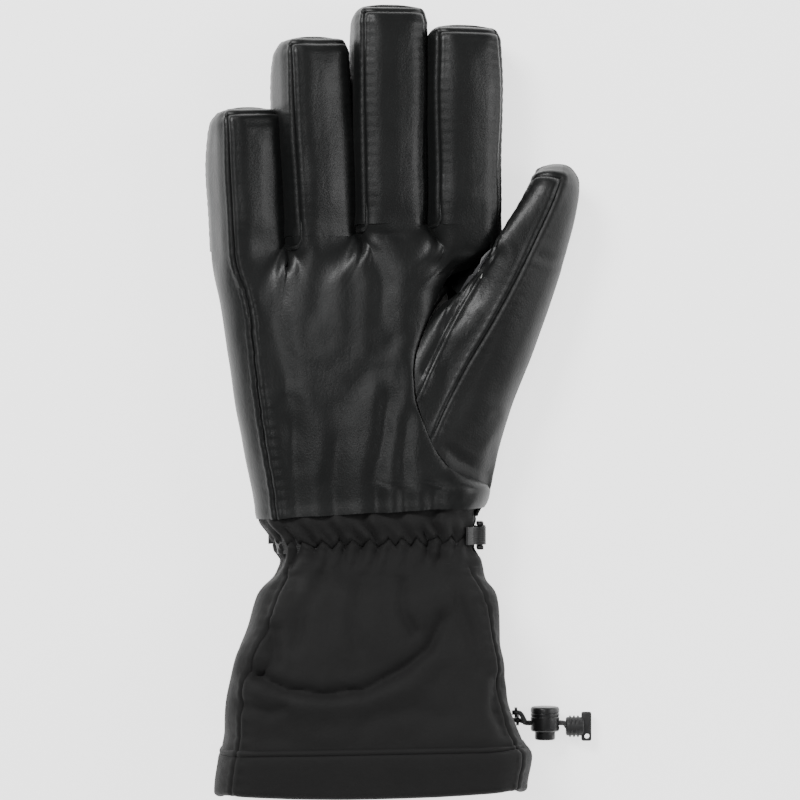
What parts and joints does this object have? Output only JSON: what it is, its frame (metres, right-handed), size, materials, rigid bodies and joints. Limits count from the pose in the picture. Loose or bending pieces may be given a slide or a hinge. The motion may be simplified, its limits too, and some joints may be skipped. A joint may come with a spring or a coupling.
{
  "type": "ski glove",
  "caption": "Insulated right-hand gauntlet ski glove in black leather and nylon, palm up, with a buckled wrist strap and a hem drawcord with its lock and pull.",
  "frame": {"origin": "centre of the glove's bounding box, without the free drawcord ends, on the surface that it lies on", "axes": "+Y to the fingertips, +X to the thumb side, +Z out of the palm; the glove lies on its back"},
  "size_m": [0.1618, 0.3284, 0.048],
  "materials": {
    "black_leather": "smooth, satin, fine grain",
    "black_leather_back": "slightly more matte",
    "black_nylon": "matte charcoal plain weave",
    "black_webbing": "ribbed webbing",
    "grey_fleece": "brushed fleece",
    "white_wadding": "bonded wadding",
    "elastic_cord": "braided sheath over rubber",
    "black_plastic": "moulded, semi-gloss",
    "black_rubber": "moulded soft plastic",
    "spring_steel": "drawn wire"
  },
  "bodies": {
    "gauntlet": {"cuff_palm_panel": "black_nylon", "cuff_back_panel": "black_nylon", "cuff_inner_gusset": "black_nylon", "cuff_outer_gusset": "black_nylon", "cuff_lining": "grey_fleece", "hem_band": "black_nylon", "drawcord_casing": "black_nylon", "drawcord_hem_run": "elastic_cord", "cord_eyelets": "black_plastic", "drawcord_upper_strand": "elastic_cord", "drawcord_lower_strand": "elastic_cord", "cord_pull": "black_rubber"},
    "hand": {"palm_panel": "black_leather", "thenar_panel": "black_leather", "back_panel": "black_leather_back", "outer_side_panel": "black_leather", "hand_insulation": "white_wadding", "hand_lining": "grey_fleece", "thumb_seam_welt": "black_leather", "wrist_gather": "black_nylon", "wrist_back_panel": "black_nylon", "wrist_elastic": "black_webbing", "wrist_strap": "black_webbing", "buckle_tab": "black_webbing"},
    "wrist_buckle": {"ladder_lock": "black_plastic", "strap_loop": "black_webbing"},
    "thumb": {"thumb_front_panel": "black_leather", "thumb_back_panel": "black_leather_back", "thumb_side_strip": "black_leather", "thumb_insulation": "white_wadding", "thumb_lining": "grey_fleece"},
    "cord_lock": {"cord_lock_barrel": "black_plastic"},
    "lock_button": {"cord_lock_button": "black_plastic", "cord_lock_spring": "spring_steel"},
    "little_finger": {"little_front_panel": "black_leather", "little_back_panel": "black_leather_back", "little_side_strip": "black_leather", "little_insulation": "white_wadding", "little_lining": "grey_fleece"},
    "ring_finger": {"ring_front_panel": "black_leather", "ring_back_panel": "black_leather_back", "ring_side_strip": "black_leather", "ring_insulation": "white_wadding", "ring_lining": "grey_fleece"},
    "middle_finger": {"middle_front_panel": "black_leather", "middle_back_panel": "black_leather_back", "middle_side_strip": "black_leather", "middle_insulation": "white_wadding", "middle_lining": "grey_fleece"},
    "index_finger": {"index_front_panel": "black_leather", "index_back_panel": "black_leather_back", "index_side_strip": "black_leather", "index_insulation": "white_wadding", "index_lining": "grey_fleece"}
  },
  "joints": [
    {"name": "wrist_flex", "type": "hinge", "parent": "gauntlet", "child": "hand", "pos_m": [-0.007, -0.07, 0.033], "axis": [1, 0, 0], "range_deg": [0, 45]},
    {"name": "little_flex", "type": "hinge", "parent": "hand", "child": "little_finger", "pos_m": [-0.0615, 0.062, 0.03], "axis": [0.999, 0.0436, 0], "range_deg": [0, 75]},
    {"name": "ring_flex", "type": "hinge", "parent": "hand", "child": "ring_finger", "pos_m": [-0.032, 0.068, 0.03], "axis": [0.999, 0.0436, 0], "range_deg": [0, 75]},
    {"name": "middle_flex", "type": "hinge", "parent": "hand", "child": "middle_finger", "pos_m": [-0.002, 0.073, 0.03], "axis": [1, 0.0087, 0], "range_deg": [0, 75]},
    {"name": "index_flex", "type": "hinge", "parent": "hand", "child": "index_finger", "pos_m": [0.0285, 0.073, 0.03], "axis": [1, 0, 0], "range_deg": [0, 75]},
    {"name": "thumb_flex", "type": "hinge", "parent": "hand", "child": "thumb", "pos_m": [0.031, 0.008, 0.034], "axis": [0.1432, -0.9897, 0], "range_deg": [0, 45]},
    {"name": "buckle_tilt", "type": "hinge", "parent": "hand", "child": "wrist_buckle", "pos_m": [0.0362, -0.0584, 0.021], "axis": [0, -1, 0], "range_deg": [0, 25]},
    {"name": "lock_slide", "type": "slide", "parent": "gauntlet", "child": "cord_lock", "axis": [1, 0, 0], "range_m": [-0.001, 0.001]},
    {"name": "button_press", "type": "slide", "parent": "cord_lock", "child": "lock_button", "axis": [0, 1, 0], "range_m": [0, 0.0024], "stiffness_N_per_m": 400, "springref_m": -0.002, "deforming": ["cord_lock_spring"]}
  ]
}
